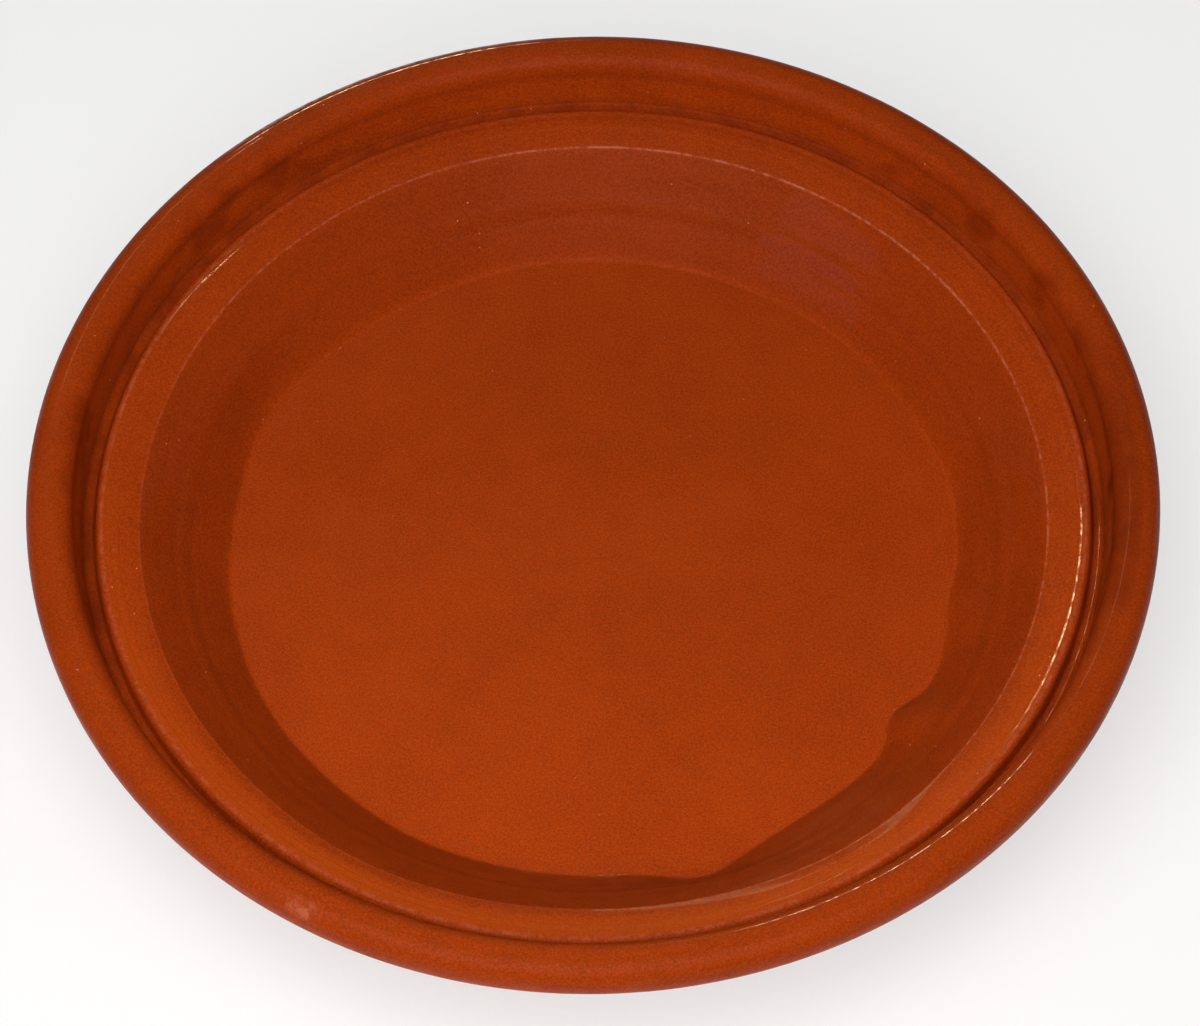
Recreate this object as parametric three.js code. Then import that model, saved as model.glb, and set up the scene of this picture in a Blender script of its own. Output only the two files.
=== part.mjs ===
// The base dish of a tagine: a wheel-thrown plate of red clay with a wide, shallow cooking well.
// Round the well runs a sloping ledge with a raised crest, then a groove that takes the edge of
// a conical lid, and then a thick rolled rim.
// The dish is one body of fired clay under one coat of glaze. The glaze is a skin of coloured
// glass that covers the inside, goes over the rim and stops in an uneven line above the bare foot.
//
// Millimetres, +Z up. The origin is on the axis, on the surface that the dish stands on.
// Sizes are those of the fired clay, and the glaze lies on top of them.

import * as THREE from "three";

// Rolled rim
const RIM_RADIUS = 149.6;
const RIM_ROLL_RADIUS = 5.9;
const RIM_ROLL_ABOVE_CREST = 8.3;

// Lid groove, from the rim inwards
const FLANK_RUN = 1.3;
const SEAT_WIDTH = 3.5;
const SEAT_OUTER_FILLET = 1.6;
const SEAT_INNER_FILLET = 1.2;
const RISER_RUN = 1.6;
const SEAT_DEPTH = 3.6;

// Ledge between the groove and the well
const CREST_FILLET = 1;
const LEDGE_WIDTH = 10;
const LEDGE_RISE = 3.1;
const LEDGE_EDGE_FILLET = 1.2;

// Cooking well
const FLOOR_HEIGHT = 11.6;
const WELL_DEPTH = 24;
const WELL_SLOPE = THREE.MathUtils.degToRad(47);
const FLOOR_FILLET = 7;

// Throwing rings that the fingers left on the ledge
const RING_COUNT = 2;
const RING_HEIGHT = 0.25;
const RING_WIDTH = 2.2;

// Outside of the bowl
const WALL_THICKNESS = 9;
const FLANGE_THICKNESS = 6.8;
const FLANGE_SLOPE = THREE.MathUtils.degToRad(18);
const FLANGE_OVERHANG = 4;
const FLANGE_FILLET = 6;
const FLANGE_ROOT_FILLET = 8;

// Turned foot
const FOOT_FILLET = 1.6;
const FOOT_RING_WIDTH = 15;
const RECESS_DEPTH = 1.8;
const RECESS_SLOPE_RUN = 3;

// Glaze: thin over edges, thicker where it pools on the floor, with a bead where it ends
const GLAZE = 0.5;
const GLAZE_ON_EDGE = 0.4;
const GLAZE_ON_FLOOR = 0.6;
const GLAZE_BEAD = 0.9;
const BEAD_LENGTH = 2.6;
const GLAZE_DROP = 15;
const GLAZE_LINE_WAVE = 1.9;

// Fineness of the facets
const SEGMENTS = 48;
const ARC_STEP = THREE.MathUtils.degToRad(24);

// Radii and heights that follow, worked out from the rim inwards and from the floor upwards
const floorLevel = FLOOR_HEIGHT;
const ledgeEdgeLevel = floorLevel + WELL_DEPTH;
const crestLevel = ledgeEdgeLevel + LEDGE_RISE;
const seatLevel = crestLevel - SEAT_DEPTH;
const rollCentre = new THREE.Vector2(RIM_RADIUS - RIM_ROLL_RADIUS, crestLevel + RIM_ROLL_ABOVE_CREST);
const seatOuterRadius = rollCentre.x - RIM_ROLL_RADIUS - FLANK_RUN;
const seatInnerRadius = seatOuterRadius - SEAT_WIDTH;
const crestRadius = seatInnerRadius - RISER_RUN;
const ledgeEdgeRadius = crestRadius - LEDGE_WIDTH;
const floorRadius = ledgeEdgeRadius - WELL_DEPTH / Math.tan(WELL_SLOPE);

const UP = new THREE.Vector2(0, 1);
const DOWN = new THREE.Vector2(0, -1);

// The outer wall runs parallel to the wall of the well, and the flange carries the groove.
const upTheWall = new THREE.Vector2(Math.cos(WELL_SLOPE), Math.sin(WELL_SLOPE));
const outOfTheWall = new THREE.Vector2(upTheWall.y, -upTheWall.x);
const wallPoint = new THREE.Vector2(floorRadius, floorLevel).addScaledVector(outOfTheWall, WALL_THICKNESS);
const flangeDirection = new THREE.Vector2(Math.cos(FLANGE_SLOPE), Math.sin(FLANGE_SLOPE));
const flangePoint = new THREE.Vector2(seatOuterRadius - SEAT_WIDTH / 2, seatLevel - FLANGE_THICKNESS);
const flangeRoot = crossing(wallPoint, upTheWall, flangePoint, flangeDirection);
const flangeReach = (seatOuterRadius + FLANGE_OVERHANG - flangePoint.x) / flangeDirection.x;
const flangeCorner = flangePoint.clone().addScaledVector(flangeDirection, flangeReach);
const footCorner = crossing(wallPoint, upTheWall, new THREE.Vector2(), new THREE.Vector2(1, 0));

// Where two lines meet, each given by a point and a direction.
function crossing(pointA, directionA, pointB, directionB) {
  const along = pointB.clone().sub(pointA).cross(directionB) / directionA.cross(directionB);
  return pointA.clone().addScaledVector(directionA, along);
}

// A point of a profile: where it is, which way is out of the clay and how much glaze lies on it.
function point(at, out, glaze) {
  return { at, out, glaze, slides: false };
}

// Points on an arc from one angle to another. An arc that turns to the left bulges out of the clay.
function arc(centre, radius, from, to, glaze) {
  const steps = Math.max(1, Math.ceil(Math.abs(to - from) / ARC_STEP));
  return Array.from({ length: steps + 1 }, (_, i) => {
    const angle = THREE.MathUtils.lerp(from, to, i / steps);
    const spoke = new THREE.Vector2(Math.cos(angle), Math.sin(angle));
    const at = centre.clone().addScaledVector(spoke, radius);
    return point(at, spoke.multiplyScalar(Math.sign(to - from)), glaze);
  });
}

// The corner between two straight stretches, rounded by an arc of the given radius.
function rounded(before, corner, after, radius, glaze) {
  const back = before.clone().sub(corner).normalize();
  const onward = after.clone().sub(corner).normalize();
  const half = Math.acos(back.dot(onward)) / 2;
  const towardsCentre = back.clone().add(onward).normalize();
  const centre = corner.clone().addScaledVector(towardsCentre, radius / Math.sin(half));
  const start = corner.clone().addScaledVector(back, radius / Math.tan(half)).sub(centre).angle();
  const turn = Math.PI - 2 * half;
  const isLeftTurn = back.cross(onward) < 0;
  return arc(centre, radius, start, start + (isLeftTurn ? turn : -turn), glaze);
}

// The angle on the roll at which a straight line from a point below grazes it.
// side is 1 for the outer side of the roll and -1 for its inner side.
function grazingAngle(from, side) {
  const away = from.clone().sub(rollCentre);
  return away.angle() + side * Math.acos(RIM_ROLL_RADIUS / away.length());
}

// The bare underside, from the middle of the recess to the foot and up to the outer wall.
function bareProfile() {
  const ringEdge = new THREE.Vector2(footCorner.x - FOOT_RING_WIDTH, 0);
  const recessMiddle = new THREE.Vector2(0, RECESS_DEPTH);
  const recessEdge = new THREE.Vector2(ringEdge.x - RECESS_SLOPE_RUN, RECESS_DEPTH);
  return [
    point(recessMiddle, DOWN, 0),
    point(recessEdge, DOWN, 0),
    point(ringEdge, DOWN, 0),
    ...rounded(ringEdge, footCorner, flangeRoot, FOOT_FILLET, 0),
  ];
}

// The end of the glaze on the outer wall: the line itself, then the bead above it.
function beadProfile() {
  const shape = [[0, 0], [0.15, 0.8 * GLAZE_BEAD], [0.5, GLAZE_BEAD], [1, GLAZE]];
  return shape.map(([share, glaze]) => {
    const fall = GLAZE_DROP - share * BEAD_LENGTH;
    const at = flangeRoot.clone().addScaledVector(upTheWall, -fall);
    return { ...point(at, outOfTheWall, glaze), slides: true };
  });
}

// The flange and the roll of the rim, from the outer wall to the flank of the groove.
function rimProfile(seatOuter) {
  const outerAngle = grazingAngle(flangeCorner, 1) - 2 * Math.PI;
  const innerAngle = grazingAngle(seatOuter, -1);
  const roll = [
    ...arc(rollCentre, RIM_ROLL_RADIUS, outerAngle, 0, GLAZE_ON_EDGE),
    ...arc(rollCentre, RIM_ROLL_RADIUS, 0, Math.PI / 2, GLAZE_ON_EDGE).slice(1),
    ...arc(rollCentre, RIM_ROLL_RADIUS, Math.PI / 2, innerAngle, GLAZE_ON_EDGE).slice(1),
  ];
  return [
    ...rounded(wallPoint, flangeRoot, flangeCorner, FLANGE_ROOT_FILLET, GLAZE),
    ...rounded(flangeRoot, flangeCorner, roll[0].at, FLANGE_FILLET, GLAZE),
    ...roll,
  ];
}

// The ledge with its low throwing rings, from the crest down to its inner edge.
function ledgeRings(crest, ledgeEdge) {
  const slope = ledgeEdge.clone().sub(crest);
  const out = new THREE.Vector2(slope.y, -slope.x).normalize();
  const rings = [];
  for (let i = 0; i < RING_COUNT; i++) {
    const middle = (i + 1) / (RING_COUNT + 1);
    for (const [offset, height] of [[-0.5, 0], [0, RING_HEIGHT], [0.5, 0]]) {
      const at = crest.clone().addScaledVector(slope, middle + (offset * RING_WIDTH) / slope.length());
      at.addScaledVector(out, height);
      rings.push(point(at, out, GLAZE));
    }
  }
  return rings;
}

// The inside, from the flank of the groove down to the middle of the floor.
function insideProfile(seatOuter, flankTop) {
  const seatInner = new THREE.Vector2(seatInnerRadius, seatLevel);
  const crest = new THREE.Vector2(crestRadius, crestLevel);
  const ledgeEdge = new THREE.Vector2(ledgeEdgeRadius, ledgeEdgeLevel);
  const floorEdge = new THREE.Vector2(floorRadius, floorLevel);
  const middle = new THREE.Vector2(0, floorLevel);
  return [
    ...rounded(flankTop, seatOuter, seatInner, SEAT_OUTER_FILLET, GLAZE),
    ...rounded(seatOuter, seatInner, crest, SEAT_INNER_FILLET, GLAZE),
    ...rounded(seatInner, crest, ledgeEdge, CREST_FILLET, GLAZE_ON_EDGE),
    ...ledgeRings(crest, ledgeEdge),
    ...rounded(crest, ledgeEdge, floorEdge, LEDGE_EDGE_FILLET, GLAZE_ON_EDGE),
    ...rounded(ledgeEdge, floorEdge, middle, FLOOR_FILLET, GLAZE_ON_FLOOR),
    point(middle, UP, GLAZE_ON_FLOOR),
  ];
}

// Each point of a profile moved out of the clay by the glaze on it.
function withGlaze(points) {
  return points.map((here) => ({
    ...here,
    at: here.at.clone().addScaledVector(here.out, here.glaze),
  }));
}

// How far up the wall the glaze line lies at one bearing, more or less than on average.
function glazeLineWave(bearing) {
  const slow = 0.55 * Math.sin(2 * bearing + 0.6);
  const quick = 0.3 * Math.sin(5 * bearing + 2.1) + 0.15 * Math.sin(9 * bearing);
  return GLAZE_LINE_WAVE * (slow + quick);
}

// Turns a profile about the axis, and slides the points that follow the glaze line.
// A profile with its solid on the right comes out with its faces inwards, so they are flipped.
function turned(points, solidOnRight = false) {
  const geometry = new THREE.LatheGeometry(points.map(({ at }) => at), SEGMENTS);
  const position = geometry.attributes.position;
  for (let i = 0; i < position.count; i++) {
    const segment = Math.floor(i / points.length) % SEGMENTS;
    const { at, slides } = points[i % points.length];
    const bearing = (segment / SEGMENTS) * 2 * Math.PI;
    const place = at.clone().addScaledVector(upTheWall, slides ? glazeLineWave(bearing) : 0);
    position.setXYZ(i, place.x * Math.sin(bearing), place.y, place.x * Math.cos(bearing));
  }
  geometry.rotateX(Math.PI / 2);
  if (solidOnRight) flipFaces(geometry.index.array);
  return geometry;
}

// Swaps two corners of every triangle.
function flipFaces(corners) {
  for (let i = 0; i < corners.length; i += 3) {
    [corners[i], corners[i + 1]] = [corners[i + 1], corners[i]];
  }
}

function sceneMesh(name, geometry, color, roughness) {
  const material = new THREE.MeshStandardMaterial({ color, roughness, metalness: 0 });
  const mesh = new THREE.Mesh(geometry, material);
  mesh.name = name;
  return mesh;
}

const seatOuter = new THREE.Vector2(seatOuterRadius, seatLevel);
const rim = rimProfile(seatOuter);
const flankTop = rim.at(-1).at;
const glazedClay = [...beadProfile(), ...rim, ...insideProfile(seatOuter, flankTop)];
const glazeSurface = withGlaze(glazedClay);

// The clay runs from the recess to the floor, with the solid on its left. The glaze runs back
// over its own surface to its line and then along the clay, with the solid on its right, so
// both bodies pass over the clay in the same order and their facets there are the same.
const clayProfile = [...bareProfile(), ...glazedClay];
const glazeProfile = [...glazeSurface.toReversed(), ...glazedClay.slice(1)];

const group = new THREE.Group();
group.add(sceneMesh("clay_body", turned(clayProfile), 0xb5653a, 0.9));
group.add(sceneMesh("glaze_coat", turned(glazeProfile, true), 0x9a3a0b, 0.12));

export default group;
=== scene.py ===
# %% [markdown]
# # The base dish of a tagine
#
# The dish is thrown on a wheel from red clay: a wide, shallow well with sloping walls, a
# ledge round it with a low crest, a groove for the edge of the lid, and a thick rolled rim.
# The inside, the rim and the upper part of the outside are under one brown glaze, and the
# foot is bare.
#
# The CAD model gives the size and the frame, so this script first loads it. Its two bodies,
# the clay and the glaze, are then each replaced by a finer piece in the same place.

# %% Load the model
import math

import bpy
from mathutils import Matrix, Vector, noise


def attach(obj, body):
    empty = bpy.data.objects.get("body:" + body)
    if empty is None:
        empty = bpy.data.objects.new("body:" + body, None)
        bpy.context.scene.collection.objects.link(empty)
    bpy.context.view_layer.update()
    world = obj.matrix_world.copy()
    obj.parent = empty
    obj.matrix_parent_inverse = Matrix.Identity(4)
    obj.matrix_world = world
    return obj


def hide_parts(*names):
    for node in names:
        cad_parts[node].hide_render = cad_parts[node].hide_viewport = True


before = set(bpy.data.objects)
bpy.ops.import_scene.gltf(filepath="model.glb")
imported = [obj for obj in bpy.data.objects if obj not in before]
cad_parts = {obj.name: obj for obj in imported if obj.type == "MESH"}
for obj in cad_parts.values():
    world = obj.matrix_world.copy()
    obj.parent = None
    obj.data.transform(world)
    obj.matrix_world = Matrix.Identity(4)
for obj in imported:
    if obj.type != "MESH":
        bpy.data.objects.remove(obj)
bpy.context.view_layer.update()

MM = 0.001

# %% [markdown]
# ## The camera
#
# The near and far parts of the rim make two ellipses of different flatness, and from them
# follow how steeply the camera looks down and how far away it stands. A lens of 136 mm on a
# 36 mm sensor, 1.2 m away and 56.5 degrees above the floor, gives the same ellipses. The
# camera was held about a degree off level.

# %% Set up the camera
ELEVATION = math.radians(56.54)
DISTANCE = 1.2
RIM_MIDDLE = Vector((0, 0, 0.047))
AIM = Vector((0.0018, -0.00635, 0.0428))
ROLL = math.radians(-1.12)
LENS = 135.8
SENSOR = 36

bpy.ops.object.select_all(action="DESELECT")
outwards = Vector((0, -math.cos(ELEVATION), math.sin(ELEVATION)))
place = RIM_MIDDLE + DISTANCE * outwards
bpy.ops.object.camera_add(location=place)
camera = bpy.context.object
camera.name = "camera"
turn = (AIM - place).to_track_quat("-Z", "Y").to_matrix()
camera.rotation_euler = (turn @ Matrix.Rotation(ROLL, 3, "Z")).to_euler()
camera.data.lens = LENS
camera.data.sensor_width = SENSOR
bpy.context.scene.camera = camera
print("Camera stands at", tuple(round(x, 3) for x in place))

# %% [markdown]
# ## The light
#
# Most of the light is soft and comes from above and from the viewer's side, so the far wall
# of the well is bright and the near wall and the groove are in shade. A square soft box and
# a large ceiling do this. A glaze would mirror them as milky bands, which the real dish
# doesn't show, so reflections leave them out.
#
# What the glaze does mirror are two narrow windows beyond the dish, which draw the thin
# golden lines on the rim and the crest, and a patch of sky with a fainter edge at the left,
# which leaves a violet haze on the far wall. The windows show only in the glaze.
#
# The room round it all is dim above and a little paler at the horizon, so that the glaze
# keeps its deep colour.

# %% Hang the lamps
DISH_MIDDLE = Vector((0, 0, 0.04))
DAYLIGHT = (1, 0.985, 0.96)
EVENING = (1, 0.72, 0.36)
SKY = (0.75, 0.65, 1)
SOFT_BOX_DISTANCE = 0.72
SKY_DISTANCE = 1.5
WINDOW_DISTANCE = 2
WINDOW_WIDTH = 0.1


def area_lamp(name, place, size, power, colour, along=Vector((1, 0, 0))):
    """A rectangular lamp that faces the dish, with its length along a direction."""
    bpy.ops.object.light_add(type="AREA", location=place)
    lamp = bpy.context.object
    lamp.name = name
    back = (place - DISH_MIDDLE).normalized()
    side = (along - along.dot(back) * back).normalized()
    lamp.rotation_euler = Matrix((side, back.cross(side), back)).transposed().to_euler()
    lamp.data.shape = "RECTANGLE"
    lamp.data.size, lamp.data.size_y = size
    lamp.data.energy = power
    lamp.data.color = colour
    print(f"{name}: {power} W from {tuple(round(x, 2) for x in place)}")
    return lamp


def direction(azimuth, elevation):
    """A unit vector from degrees: azimuth 0 is +X and 90 is +Y, away from the viewer."""
    azimuth, elevation = math.radians(azimuth), math.radians(elevation)
    flat = math.cos(elevation)
    return Vector((flat * math.cos(azimuth), flat * math.sin(azimuth), math.sin(elevation)))


def window(name, start, end, power):
    """A narrow lamp from one direction to another, which shows only in the glaze."""
    start, end = (WINDOW_DISTANCE * direction(*way) for way in (start, end))
    span = end - start
    size = (span.length, WINDOW_WIDTH)
    lamp = area_lamp(name, (start + end) / 2, size, power, EVENING, span)
    lamp.visible_diffuse = False


soft_box_place = SOFT_BOX_DISTANCE * direction(258, 61)
soft_box = area_lamp("soft_box", soft_box_place, (0.65, 0.65), 5.8, DAYLIGHT)
ceiling = area_lamp("ceiling", Vector((0, 0, 2.5)), (4, 4), 12, DAYLIGHT)
for lamp in (soft_box, ceiling):
    lamp.visible_glossy = False
    lamp.visible_camera = False

window("low_window", (90, 19), (110, 25), 6)
window("high_window", (104.5, 44), (111, 53), 2.8)

area_lamp("sky_patch", SKY_DISTANCE * direction(214, 25), (0.6, 0.45), 0.4, SKY)
area_lamp("sky_edge", SKY_DISTANCE * direction(218, 21), (0.95, 0.6), 0.1, SKY)

# %% Set up the room
HORIZON_LIGHT = 0.14
OVERHEAD_LIGHT = 0.05

world = bpy.data.worlds.new("room")
bpy.context.scene.world = world
world.use_nodes = True
room = world.node_tree
view_direction = room.nodes.new("ShaderNodeTexCoord").outputs["Generated"]
split = room.nodes.new("ShaderNodeSeparateXYZ")
room.links.new(view_direction, split.inputs[0])
height = room.nodes.new("ShaderNodeMapRange")
height.interpolation_type = "SMOOTHSTEP"
for name, level in (
    ("From Min", 0.05), ("From Max", 0.3), ("To Min", HORIZON_LIGHT), ("To Max", OVERHEAD_LIGHT),
):
    height.inputs[name].default_value = level
room.links.new(split.outputs["Z"], height.inputs["Value"])
room.links.new(height.outputs["Result"], room.nodes["Background"].inputs["Strength"])
room.nodes["Background"].inputs["Color"].default_value = (1, 1, 1, 1)
bpy.context.scene.view_settings.view_transform = "Standard"

# %% [markdown]
# ## A small language for materials
#
# A material is a graph of nodes. The sums in it are easier to read as sums, so one small
# class wraps a socket and adds a Math node for each operator. Every other node comes from
# one method that takes its type, its settings and its sockets.

# %% Write the material helpers
class Value:
    """A number that changes over the surface, for use in sums."""

    def __init__(self, recipe, socket):
        self.recipe = recipe
        self.socket = socket

    def math(self, operation, *others):
        return self.recipe.add("ShaderNodeMath", {"operation": operation},
                               dict(enumerate((self, *others))))

    def __add__(self, other):
        return self.math("ADD", other)

    def __sub__(self, other):
        return self.math("SUBTRACT", other)

    def __mul__(self, other):
        return self.math("MULTIPLY", other)

    def __rsub__(self, other):
        return self.recipe.add("ShaderNodeMath", {"operation": "SUBTRACT"}, {0: other, 1: self})

    __radd__ = __add__
    __rmul__ = __mul__

    def to(self, low, high):
        """0 at low and 1 at high, with a smooth change between."""
        return self.recipe.add(
            "ShaderNodeMapRange", {"interpolation_type": "SMOOTHSTEP"},
            {"Value": self, "From Min": low, "From Max": high},
        )


class Recipe:
    """The nodes of one material."""

    def __init__(self, name):
        self.material = bpy.data.materials.new(name)
        self.material.use_nodes = True
        self.tree = self.material.node_tree
        self.shader = self.tree.nodes["Principled BSDF"]
        self.place = self.add("ShaderNodeTexCoord", output="Object")

    def add(self, kind, settings=None, sockets=None, output=0):
        """Adds a node, and gives back one of its outputs."""
        node = self.tree.nodes.new(kind)
        for name, setting in (settings or {}).items():
            setattr(node, name, setting)
        for name, value in (sockets or {}).items():
            self.plug(self.socket(node.inputs, name), value)
        return Value(self, self.socket(node.outputs, output))

    def socket(self, sockets, name):
        """A socket by its number, its name, or the identifier that tells namesakes apart."""
        if isinstance(name, int):
            return sockets[name]
        return next((s for s in sockets if s.identifier == name), None) or sockets[name]

    def plug(self, socket, value):
        if isinstance(value, Value):
            self.tree.links.new(value.socket, socket)
        else:
            socket.default_value = value

    def blend(self, factor, first, second):
        """The first colour where factor is 0 and the second where it is 1."""
        return self.add("ShaderNodeMix", {"data_type": "RGBA"},
                        {"Factor_Float": factor, "A_Color": first, "B_Color": second},
                        "Result_Color")

    def cloud(self, scale, detail=2.0, place=None):
        """Soft noise round 0.5, with that many patches to the metre."""
        return self.add("ShaderNodeTexNoise", {},
                        {"Vector": place or self.place, "Scale": scale, "Detail": detail})

    def painted(self, name):
        """A number that was stored at each vertex of the piece."""
        return self.add("ShaderNodeAttribute", {"attribute_name": name}, output="Fac")

    def finish(self, colour, roughness, bumps):
        """Feeds the shader. Each bump is a height from 0 to 1 and its depth in millimetres."""
        normal = None
        for height, depth in bumps:
            sockets = {"Height": height, "Distance": depth * MM}
            if normal:
                sockets["Normal"] = normal
            normal = self.add("ShaderNodeBump", {}, sockets)
        self.plug(self.shader.inputs["Base Color"], colour)
        self.plug(self.shader.inputs["Roughness"], roughness)
        self.plug(self.shader.inputs["Normal"], normal)
        print(f"{self.material.name}: {len(self.tree.nodes)} nodes")
        return self.material


def paint(red, green, blue):
    """A colour as a screen shows it, from 0 to 255, in the linear values of a shader."""
    def linear(level):
        share = level / 255
        return share / 12.92 if share < 0.04045 else ((share + 0.055) / 1.055) ** 2.4
    return (linear(red), linear(green), linear(blue), 1)


# %% [markdown]
# ## The floor
#
# The dish stands on a plain pale table top. It is large, so that its edge is out of sight,
# and almost white, so that the background is pale and keeps the soft shadow of the dish.
# More than half of what is seen of it is a plain white that sheds no light, so that it looks
# like paper and the lamps can stay at the level that suits the dish.

# %% Lay the floor
FLOOR_RADIUS = 5
WHITE_SHARE = 0.6

bpy.ops.object.select_all(action="DESELECT")
bpy.ops.mesh.primitive_circle_add(vertices=96, radius=FLOOR_RADIUS, fill_type="NGON")
floor = bpy.context.object
floor.name = "floor"
table = Recipe("pale_table")
table.shader.inputs["Specular IOR Level"].default_value = 0.1
table_grain = table.cloud(300)
off_white = table.blend(table_grain, (0.92, 0.92, 0.92, 1), (0.94, 0.94, 0.94, 1))
floor.data.materials.append(table.finish(off_white, 0.9, [(table_grain, 0.05)]))

seen = table.add("ShaderNodeLightPath", output="Is Camera Ray")
for kind in ("Glossy", "Transmission"):
    seen = seen.math("MAXIMUM", table.add("ShaderNodeLightPath", output=f"Is {kind} Ray"))
white = table.add("ShaderNodeEmission", {}, {"Color": (1, 1, 1, 1), "Strength": 1})
lit = Value(table, table.shader.outputs["BSDF"])
surface = table.add("ShaderNodeMixShader", {}, {0: WHITE_SHARE * seen, 1: lit, 2: white})
table.plug(table.tree.nodes["Material Output"].inputs["Surface"], surface)

# %% [markdown]
# ## The section of the dish
#
# A thrown dish is the same all the way round, so it is drawn as a section, half of a cut
# through the middle, and turned about its axis. The section is a row of corners in
# millimetres, radius and height, each with the radius of its rounding. An arc takes the
# place of every corner, so there are no hard edges, as in clay that hands have shaped.

# %% Round the corners of a section
LONG_GAP = 1.5
SHORT_GAP = 0.02
GUARD = 0.4


def rounded(corners, arc_step, longest):
    """A row of (radius, height, rounding) in millimetres as a smooth row of points.

    An arc has a point every arc_step degrees. A straight part has a guard point near each
    end, which keeps the shading flat, and no two points farther apart than longest.
    """
    path = [Vector(corners[0][:2])]
    for before, corner, after in zip(corners, corners[1:], corners[2:]):
        middle = Vector(corner[:2])
        back = (Vector(before[:2]) - middle).normalized()
        on = (Vector(after[:2]) - middle).normalized()
        half = back.angle(on) / 2
        centre = middle + (back + on).normalized() * corner[2] / math.sin(half)
        start = middle + back * corner[2] / math.tan(half) - centre
        turn = -math.copysign(math.pi - 2 * half, back.cross(on))
        steps = max(1, math.ceil(abs(math.degrees(turn)) / arc_step))
        for i in range(steps + 1):
            path.append(centre + Matrix.Rotation(turn * i / steps, 2) @ start)
    path.append(Vector(corners[-1][:2]))
    points = [path[0]]
    for here in path[1:]:
        gap = here - points[-1]
        guard = gap.normalized() * GUARD
        if gap.length > LONG_GAP:
            first, last = points[-1] + guard, here - guard
            parts = math.ceil((last - first).length / longest)
            points += [first.lerp(last, i / parts) for i in range(parts + 1)]
        if gap.length > SHORT_GAP:
            points.append(here)
    return points


# %% [markdown]
# ## The corners
#
# Two rows of corners meet at the glaze line on the outer wall. The bare one runs from the
# middle of the underside over the foot, and the glazed one up the wall, round the rim, into
# the groove, over the crest and the ledge and down the well to the middle of the floor. Two
# low steps on the ledge are left from the tool that cut it.
#
# The glaze lies on the clay, so its own surface is this section moved outwards by half a
# millimetre, with less on sharp edges, where it runs off, and more on the floor, where it
# collects.

# %% Set out the corners
WALL_SLOPE = math.radians(47)
UP_THE_WALL = Vector((math.cos(WALL_SLOPE), math.sin(WALL_SLOPE)))
FLANGE_ROOT = Vector((123.5, 24.6))
GLAZE_DROP = 15
glaze_line = FLANGE_ROOT - GLAZE_DROP * UP_THE_WALL

bare_corners = [
    (0, 1.8, 0), (82.5, 1.8, 1.0), (85.5, 0, 0.6), (100.5, 0, 1.6), (*glaze_line, 0),
]
glazed_corners = [
    (*glaze_line, 0), (*FLANGE_ROOT, 8), (140.5, 30.2, 6),
    (149.6, 45.3, 5.5), (149.6, 52.9, 4.7), (138.2, 52.7, 4.7), (138.2, 46.5, 5),
    (136.6, 35.1, 2.4), (133.2, 35.1, 1.4), (131.9, 39.2, 1.5),
    (129.4, 38.41, 0.5), (129.0, 38.19, 0.5), (127.2, 37.63, 0.5), (126.8, 37.4, 0.5),
    (125.0, 36.86, 0.5), (121.4, 35.6, 0.8), (99.0, 11.6, 2.4), (0, 11.6, 0),
]
print(f"The glaze line is at radius {glaze_line.x:.1f} mm and height {glaze_line.y:.1f} mm")


# %% Lay glaze on a section
USUAL_GLAZE = 0.5
RIM_GLAZE = 0.4
THIN_EDGES = (Vector((131.2, 38.5)), Vector((121.4, 35.5)))


def smooth(value, low, high):
    """0 below low and 1 above high, with a smooth change between. low may be the higher."""
    share = min(1, max(0, (value - low) / (high - low)))
    return share * share * (3 - 2 * share)


def glaze_depth(point):
    """Millimetres of glaze at a point of the clay's section."""
    radius, height = point
    depth = USUAL_GLAZE + 0.1 * smooth(radius, 100, 94)
    for edge in THIN_EDGES:
        depth -= 0.1 * smooth((point - edge).length, 2, 0)
    if height > 43:
        depth = RIM_GLAZE
    if 108 < radius < 125 and height < 24:
        fall = (FLANGE_ROOT - point).length
        depth += 0.4 * smooth(fall, 11.5, 13.5) - 0.9 * smooth(fall, 14.2, 15)
    return depth


def glazed(points):
    """A section of clay moved outwards by the glaze on it."""
    moved = []
    for i, here in enumerate(points):
        along = points[min(i + 1, len(points) - 1)] - points[max(i - 1, 0)]
        outward = Vector((along.y, -along.x)).normalized()
        moved.append(here + outward * max(0, glaze_depth(here)))
    moved[-1].x = 0
    return moved


# %% [markdown]
# ## Turning the section
#
# The spin tool does in Blender what the wheel does for the potter. A chain of edges is drawn
# from one vertex by extruding it from point to point, and is then spun about the axis. The
# first and last copies meet, so doubles are merged, and after that the normals are made to
# point outwards.

# %% Turn a section on the wheel
WHEEL_STEPS = 256
DOUBLES_APART = 0.000005


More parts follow.
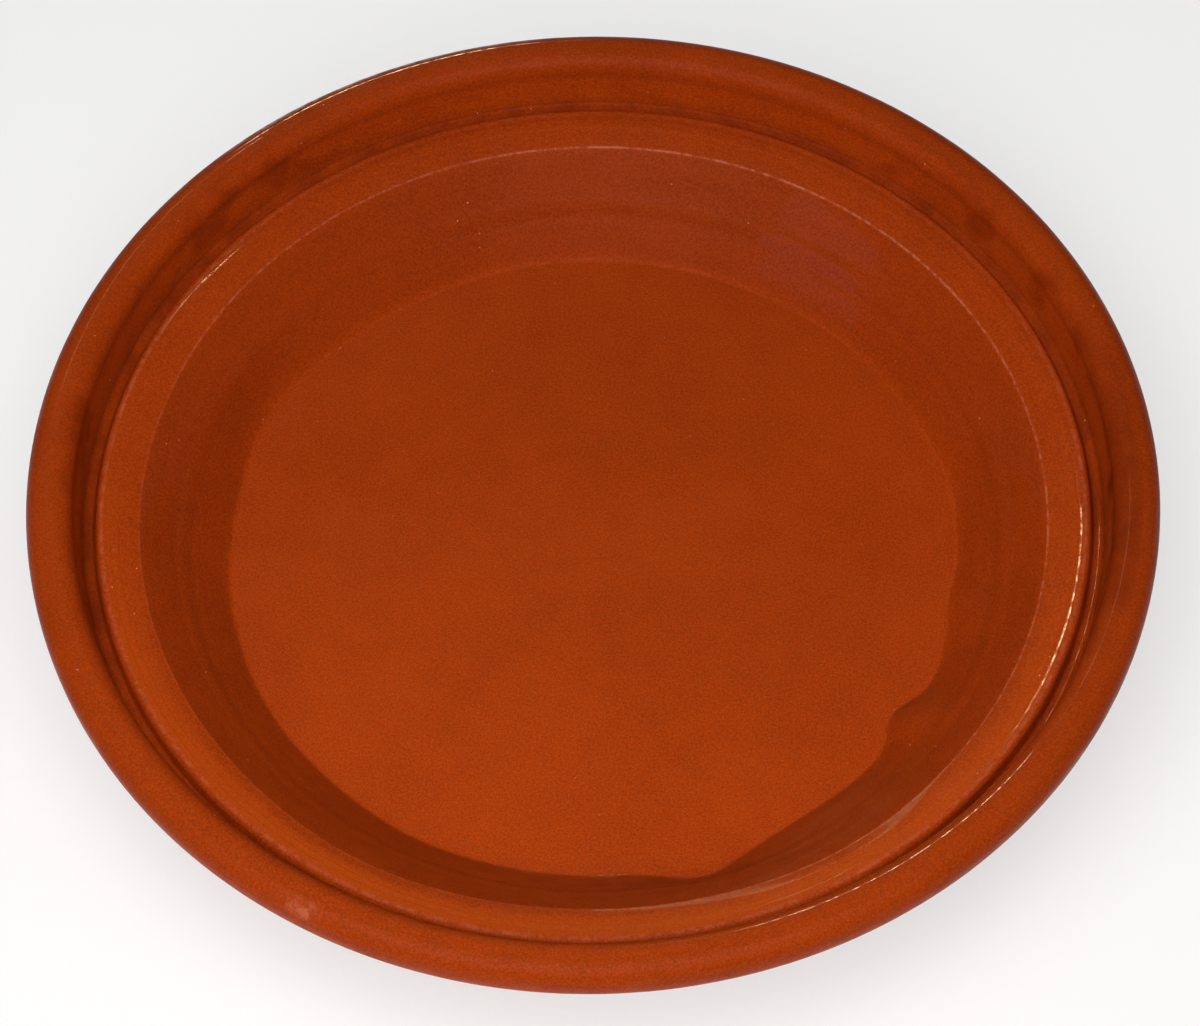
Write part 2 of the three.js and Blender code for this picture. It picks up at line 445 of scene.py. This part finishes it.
def throw(name, section):
    """A solid of revolution from a row of points in millimetres, radius and height."""
    bpy.ops.object.select_all(action="DESELECT")
    bpy.ops.mesh.primitive_plane_add(size=MM)
    piece = bpy.context.object
    piece.name = name
    bpy.ops.object.mode_set(mode="EDIT")
    bpy.ops.mesh.merge(type="CENTER")
    bpy.ops.transform.translate(value=(section[0].x * MM, 0, section[0].y * MM))
    for here, after in zip(section, section[1:]):
        step = (after - here) * MM
        bpy.ops.mesh.extrude_vertices_move(
            TRANSFORM_OT_translate={"value": (step.x, 0, step.y)})
    bpy.ops.mesh.select_all(action="SELECT")
    bpy.ops.mesh.spin(steps=WHEEL_STEPS, angle=math.tau, center=(0, 0, 0), axis=(0, 0, 1))
    bpy.ops.mesh.select_all(action="SELECT")
    bpy.ops.mesh.remove_doubles(threshold=DOUBLES_APART)
    bpy.ops.mesh.normals_make_consistent(inside=False)
    bpy.ops.object.mode_set(mode="OBJECT")
    print(f"{name}: {len(section)} points in the section, {len(piece.data.polygons)} faces")
    return piece


# %% [markdown]
# ## The hand of the potter
#
# Nothing thrown by hand is quite round or level. A few small errors are given to the dish:
# the rim rises and falls by a fraction of a millimetre, the outline is slightly oval, the
# inner edge of the ledge lies a little further out in two places on the near side, the crest
# is lower and the groove shallower on the far side, and the foot of the wall wanders in and
# out, most of all at the lower right. Both pieces are moved by the same rule, so the glaze
# stays on the clay. Every error at the outline goes inwards or downwards, so that the dish
# keeps inside its box.

# %% Describe the unevenness
FOOT_BULGES = (
    (-11, 7, 2.4), (-34, 5, 4.8), (-57, 9, 0.8), (-75, 7, -4.2), (12, 8, -1.2), (150, 14, -3),
)
FAR_SIDE = math.radians(85)


def hump(value, middle, width):
    """1 at one value and less on both sides of it."""
    return math.exp(-(((value - middle) / width) ** 2))


def well_foot_bulge(bearing):
    """How far, in millimetres, the foot of the wall stands further in at one bearing."""
    total = 0.15 * math.sin(7 * bearing) + 0.1 * math.sin(13 * bearing + 1)
    for middle, width, reach in FOOT_BULGES:
        away = (math.degrees(bearing) - middle + 180) % 360 - 180
        total += reach * hump(away, 0, width)
    return total


def by_hand(point):
    """Where a point in metres of the perfect dish lies on the real one."""
    x, y, z = point / MM
    radius = math.hypot(x, y)
    if radius < 0.01:
        return point
    bearing = math.atan2(y, x)
    shift = 0
    on_the_well = z > 0.32 * radius - 21 and radius < 121
    if on_the_well:
        shift -= well_foot_bulge(bearing) * smooth(radius, 80, 97) * smooth(radius, 113, 101)
    upper = smooth(radius, 104, 138)
    shift -= 0.12 * upper * (1 + math.sin(2 * bearing + 0.7)) / 2
    z -= 0.3 * upper * (1 + math.sin(3 * bearing + 1.9) * 0.6 + math.sin(2 * bearing) * 0.4) / 2
    z -= 0.06 * upper * (1 + noise.noise(Vector((x, y, 0)) / 14))
    for middle in (-60, -120):
        shift += 0.9 * hump(radius, 121.5, 3.5) * hump(math.degrees(bearing), middle, 14)
    if z > 30:
        far = smooth(math.cos(bearing - FAR_SIDE), 0, 0.6)
        z += far * (1.5 * hump(radius, 134.4, 2.2) - 1.1 * hump(radius, 131.6, 2.5))
    share = 1 + shift / radius
    return Vector((x * share, y * share, z)) * MM


def uneven(piece):
    """Gives the unevenness to every vertex of a piece."""
    for vertex in piece.data.vertices:
        vertex.co = by_hand(vertex.co)
    piece.data.update()


# %% [markdown]
# ## The glaze
#
# The glaze is a coat of coloured glass. It is modelled as a thin closed shell, with its own
# surface outside and the clay's surface inside. Its lower end on the outer wall is a rounded
# bead in a wavy line, because the dish was held by its foot and dipped, and the glaze ran a
# little before it dried. The bead is drawn in the section, and the wave then slides the end
# up and down the wall.

# %% Turn the glaze
glaze_top = glazed(rounded(glazed_corners, arc_step=9, longest=2.2))
clay_side = rounded(glazed_corners, arc_step=18, longest=9)
glaze = throw("glaze_skin", [glaze_line.copy()] + glaze_top[1:] + clay_side[::-1])


# %% Let the lower end run
WAVE = 1.9
SLIDE_START = 3
SLIDE_FULL = 12
GLAZE_AT_MOST = 1.2


def glaze_line_wave(bearing):
    """How far up the wall the end of the glaze lies at one bearing, in millimetres."""
    slow = 0.55 * math.sin(2 * bearing + 0.6) + 0.3 * math.sin(5 * bearing + 2.1)
    quick = 0.15 * math.sin(9 * bearing) + 0.1 * math.sin(23 * bearing + 1)
    return WAVE * (slow + quick)


for vertex in glaze.data.vertices:
    x, y, z = vertex.co / MM
    radius = math.hypot(x, y)
    fall = FLANGE_ROOT - Vector((radius, z))
    below = fall.dot(UP_THE_WALL)
    beside = abs(fall.cross(UP_THE_WALL))
    if below > SLIDE_START and beside < GLAZE_AT_MOST:
        held = smooth(below, SLIDE_START, SLIDE_FULL)
        slide = UP_THE_WALL * glaze_line_wave(math.atan2(x, -y)) * held
        share = 1 + slide.x / radius
        vertex.co = Vector((x * share, y * share, z + slide.y)) * MM
rises = [UP_THE_WALL.y * glaze_line_wave(math.radians(degrees)) for degrees in range(360)]
lowest, highest = glaze_line.y + min(rises), glaze_line.y + max(rises)
print(f"The glaze ends between heights {lowest:.1f} and {highest:.1f} mm")


# %% [markdown]
# ## Where the glaze is thin or glossy, and where light and shade are painted
#
# Glaze looks paler where it is thin, on sharp edges, and these pale lines also carry a painted
# highlight. Painted shade darkens the groove, the back of the crest, the right of the rim and
# the wall of the well, painted light lightens the near part of the ledge, and the inside of
# the rim is darker in patches. The glaze is also glossier on some stretches than on others,
# because use has dulled it. The shader can't know this by itself, so a few numbers are stored
# at each vertex, from its place in the section, before the unevenness moves it.

# %% Describe the glaze from place to place
def store(piece, name, amount):
    """Stores a number from 0 to 1 at every vertex, from its place in the section."""
    layer = piece.data.attributes.new(name, "FLOAT", "POINT")
    for vertex, entry in zip(piece.data.vertices, layer.data):
        x, y, z = vertex.co / MM
        entry.value = amount(Vector((math.hypot(x, y), z)), math.degrees(math.atan2(y, x)))
    print(f"{piece.name}: stored {name}")


def turn_from(bearing, middle):
    """How many degrees one bearing is from another."""
    return abs((bearing - middle + 180) % 360 - 180)


def near(point, radius, height, none, full):
    """1 at a place in the section, 0 farther from it than none, 1 nearer than full."""
    return smooth((point - Vector((radius, height))).length, none, full)


def stretch(bearing, middle, half, soft=7):
    """1 on a stretch of the circle, with soft ends."""
    return smooth(turn_from(bearing, middle), half + soft, half)


def thin_glaze_and_glint(point, bearing):
    """Thin glaze with a painted highlight on the inner edge of the ledge, most of all at the far
    side, and on the crest, and a pale rim spot.
    """
    far = max(0.65 * stretch(bearing, 66, 30, 20), 0.3 * stretch(bearing, 120, 30, 20))
    along = max(0.12, far, 0.45 * stretch(bearing, -25, 55, 25))
    ledge_edge = along * near(point, 121.25, 36, 0.45, 0.05)
    crest = (0.25 - 0.15 * stretch(bearing, 75, 40, 30)) * near(point, 131.2, 39.1, 0.9, 0.1)
    spot = 0.5 * near(point, 147.5, 51, 3.5, 1) * stretch(bearing, -120.5, 0.5, 1.7)
    return max(ledge_edge, crest, spot)


def painted_near_light(point, bearing):
    """The outer part of the ledge at the near side, made a little lighter as painted light."""
    ledge = smooth(point.x, 122.5, 128.5) * smooth(point.x, 131.5, 130) * smooth(point.y, 34, 35)
    return ledge * stretch(bearing, -98, 20, 90)


def painted_wall_shade(point, bearing):
    """The wall of the well and the near part of the ledge's edge, darkened as painted shade."""
    if point.y > 37 or point.x < 99.2:
        return 0
    wall = smooth(point.x, 99.2, 100.6) * smooth(point.x, 121.2, 120.4)
    edge = smooth(point.x, 125, 122.5) * smooth(point.x, 120.4, 121.2)
    return max(wall, edge * stretch(bearing, -90, 50, 30))


def painted_groove_shade(point, bearing):
    """Painted shade in the groove, most of all at the left, and at the right on the crest's back
    and the rim.
    """
    depth = 0.5 + 0.4 * stretch(bearing, 170, 20, 25) + 0.3 * stretch(bearing, 60, 70, 30)
    depth -= 0.25 * stretch(bearing, -28, 10, 18) + 0.35 * stretch(bearing, -130, 20, 20)
    groove = depth * near(point, 135.7, 35.4, 2.8, 1.4)
    back = 0.5 * near(point, 133.4, 36.6, 2.6, 1.6) * stretch(bearing, -22, 22, 12)
    rim = 0.8 * near(point, 140.5, 50.5, 7, 3.5) * stretch(bearing, -4, 8, 18)
    dark_streaks = max(stretch(bearing, *dark_band) for dark_band in ((-1, 0.8, 1.6), (-12, 0.6, 1.2), (-17, 0.4, 1)))
    return max(groove, back, rim, dark_streaks * near(point, 138, 45.5, 5.5, 2.5))


def inner_rim_patches(point, bearing):
    """The inside of the rim, darker in noisy patches, most of all at the left and the right."""
    sides = max(0.25, stretch(bearing, 150, 25, 20), stretch(bearing, 30, 20, 20))
    return near(point, 138.5, 46, 9, 5) * sides


def glossy_glaze(point, bearing):
    """Stretches of the rim, the crest, the groove and the foot of the wall, and the outside."""
    if point.x < 121:
        foot = 0.7 * stretch(bearing, -91, 9)
        rest = 0.05 + 0.07 * smooth(point.x, 101, 107)
        share = near(point, 99.5, 12.6, 4, 2)
        return share * foot + (1 - share) * rest
    crest = max(stretch(bearing, -19, 21), 0.6 * stretch(bearing, 138, 7))
    lip = max(stretch(bearing, -57, 13), 0.04 * stretch(bearing, -20, 16))
    side = smooth(point.y, 48, 42) * smooth(point.x, 132, 141)
    return max(
        0.02,
        crest * near(point, 131.2, 39, 1.5, 0.9),
        0.4 * stretch(bearing, -66, 3, 5) * near(point, 129.6, 38.6, 1.6, 0.8),
        lip * near(point, 139, 49.5, 5, 3.5),
        0.5 * stretch(bearing, -22, 15) * near(point, 135.3, 35.6, 1.8, 0.9),
        stretch(bearing, 114, 13) * near(point, 147.5, 51.5, 6, 4),
        0.3 * max(0.5 * side, smooth(point.y, 34, 30)),
    )


# %% Store it in the glaze
for name, amount in (
    ("thin_and_glint", thin_glaze_and_glint), ("near_light", painted_near_light), ("dark_band", painted_wall_shade),
    ("groove_shade", painted_groove_shade), ("inner_rim_dark", inner_rim_patches), ("gloss", glossy_glaze),
):
    store(glaze, name, amount)
uneven(glaze)

# %% [markdown]
# ## The clay
#
# The clay is the body under the glaze. Only its foot and underside are seen. When the pot is
# leather hard the potter turns it over and trims the foot with a sharp loop, which leaves
# fine rings and a shallow recess, so the section of the underside gets a row of small steps.

# %% Turn the clay
def trimmed(points):
    """The underside with the rings of the trimming tool."""
    cut = []
    for here in points:
        depth = 0.14 * math.sin(2.1 * here.x) + 0.06 * math.sin(5.3 * here.x + 1)
        on_the_recess = 3 < here.x < 81 and here.y < 2.5
        cut.append(here + Vector((0, depth if on_the_recess else 0)))
    return cut


underside = trimmed(rounded(bare_corners, arc_step=18, longest=0.8))
clay = throw("dish_clay", underside + clay_side[1:])
uneven(clay)

# %% [markdown]
# ## The colour of the glaze
#
# The glaze is a warm orange brown. Up close it isn't even: it has soft darker clouds, faint
# rings where the throwing marks show through, a fine grain, and a few pinholes, where gas
# came out of the clay in the kiln. Painted shade makes it a little darker towards the far side
# and on top of the rim, and darkens the wall of the well and the groove. Painted light makes
# the near part of the ledge lighter. Under the shine the surface is satin, and a thin clear
# coat over it carries the gloss, broken up on the brightest stretches and slightly wavy
# everywhere.

# %% Mix the glaze
# The colours of painted shade; DARK also makes the inside of the rim darker in patches.
SHADE = (104, 31, 3)
DARK = (98, 27, 3)

brown = Recipe("brown_glaze")
brown.shader.inputs["Specular IOR Level"].default_value = 0.04
brown.shader.inputs["Coat IOR"].default_value = 1.8
brown.shader.inputs["Coat Roughness"].default_value = 0.06

x, y, z = (brown.add("ShaderNodeSeparateXYZ", {}, {0: brown.place}, axis) for axis in "XYZ")
radius = (x * x + y * y).math("SQRT")
ring_place = brown.add("ShaderNodeCombineXYZ", {}, {0: radius, 1: z, 2: x * 0.02 + y * 0.03})
off_the_floor = radius.to(0.09, 0.115)
off_the_ledge = radius.to(0.131, 0.136)

clouds = brown.cloud(22, 3).to(0.35, 0.68)
fine_clouds = brown.cloud(110, 3).to(0.35, 0.7)
rings = brown.cloud(420, 2, ring_place).to(0.35, 0.65)
grain = brown.cloud(1400).to(0.3, 0.7)
fine_grain = brown.cloud(2300).to(0.3, 0.7)
# the inside of the rim is darker in noisy patches
inner_rim_darkening = brown.painted("inner_rim_dark") * brown.cloud(60, 4).to(0.5, 0.64)
# pale edges where the glaze is thin, partly a painted highlight
worn_and_glint = brown.painted("thin_and_glint") * (0.2 + 0.8 * brown.cloud(500, 4).to(0.42, 0.6))

pin_cells = {"Vector": brown.place, "Scale": 330}
pin_distance = brown.add("ShaderNodeTexVoronoi", {}, pin_cells, "Distance")
pin_colour = brown.add("ShaderNodeTexVoronoi", {}, pin_cells, "Color")
pin_chance = brown.add("ShaderNodeSeparateColor", {}, {0: pin_colour}, "Red")
pinholes = (1 - pin_distance.to(0.04, 0.11)) * pin_chance.to(0.95, 0.96)

tone = 0.45 * clouds + 0.3 * fine_clouds + (0.08 + 0.17 * off_the_floor) * rings
colour = brown.blend(tone, paint(173, 62, 12), paint(151, 50, 8))
for factor, other in (
    (0.4 * grain, (208, 86, 19)),
    (0.46 * fine_grain, (97, 28, 4)),
    # painted shade: a little darker towards the far side, less so beyond the ledge
    (0.28 * y.to(-0.13, 0.14) * (1 - 0.8 * off_the_ledge), SHADE),
    # painted light: the outer part of the ledge at the near side is lighter
    (0.42 * brown.painted("near_light"), (196, 80, 16)),
    # painted shade: darker on top of the rim
    (0.26 * z.to(0.046, 0.05), SHADE),
    # painted shade on the wall of the well and the near inner edge of the ledge
    (0.16 * brown.painted("dark_band"), DARK),
    # darker in noisy patches inside the rim
    (0.4 * inner_rim_darkening, DARK),
    # painted shade in the groove, on the back of the crest and on the right of the rim
    (0.8 * brown.painted("groove_shade") * (0.6 + 0.4 * fine_clouds), DARK),
    # paler where the glaze is thin on edges, partly a painted highlight
    (0.6 * worn_and_glint, (224, 138, 104)),
    ((0.3 + 0.4 * off_the_floor) * pinholes, (220, 146, 112)),
):
    colour = brown.blend(factor, colour, paint(*other))

gloss = brown.painted("gloss")
broken = gloss.to(0.3, 0.5) * (1 - brown.cloud(420, 3).to(0.44, 0.57) * (0.35 + 0.65 * grain))
brown.plug(brown.shader.inputs["Coat Weight"], gloss * (1 - 0.92 * broken))

waves = brown.cloud(70) * (0.12 + 0.88 * off_the_floor)
ripple = brown.cloud(260) * (0.3 + 0.7 * off_the_floor)
glaze.data.materials.append(brown.finish(
    colour, 0.34 + 0.12 * fine_clouds,
    [(waves, 0.25), (ripple, 0.05), (rings, 0.01), (1 - pinholes, 0.1)],
))

# %% [markdown]
# ## The colour of the bare clay
#
# Fired red clay is matt and dusty orange, with fine sand and darker grains in it. The rings
# of the trimming tool stay visible, and the colour differs a little from place to place
# with the heat of the kiln.

# %% Mix the clay
terracotta = Recipe("bare_terracotta")
heat = terracotta.cloud(16, 3).to(0.3, 0.7)
sand = terracotta.cloud(1500, 2).to(0.35, 0.65)
lumps = terracotta.cloud(350, 3).to(0.4, 0.6)
grit_cells = {"Vector": terracotta.place, "Scale": 600}
grit_distance = terracotta.add("ShaderNodeTexVoronoi", {}, grit_cells, "Distance")
grit = 1 - grit_distance.to(0.12, 0.3)
clay_colour = terracotta.blend(heat, paint(190, 112, 72), paint(176, 94, 54))
clay_colour = terracotta.blend(0.3 * sand, clay_colour, paint(206, 138, 98))
clay_colour = terracotta.blend(0.35 * grit, clay_colour, paint(120, 66, 44))
clay.data.materials.append(terracotta.finish(
    clay_colour, 0.85 + 0.1 * sand,
    [(lumps, 0.1), (sand, 0.08), (1 - grit, 0.05)],
))

# %% [markdown]
# ## Join the pieces to the model
#
# Both pieces are shaded smooth, except where two faces meet at a sharp angle. Then each
# takes the place of its CAD body.

# %% Smooth, ride and replace
SHARP = math.radians(35)

for piece, node, finish_name in (
    (glaze, "glaze_coat", "brown_glaze"),
    (clay, "clay_body", "bare_clay"),
):
    bpy.ops.object.select_all(action="DESELECT")
    piece.select_set(True)
    bpy.context.view_layer.objects.active = piece
    bpy.ops.object.shade_smooth_by_angle(angle=SHARP)
    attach(piece, "root")
    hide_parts(node)
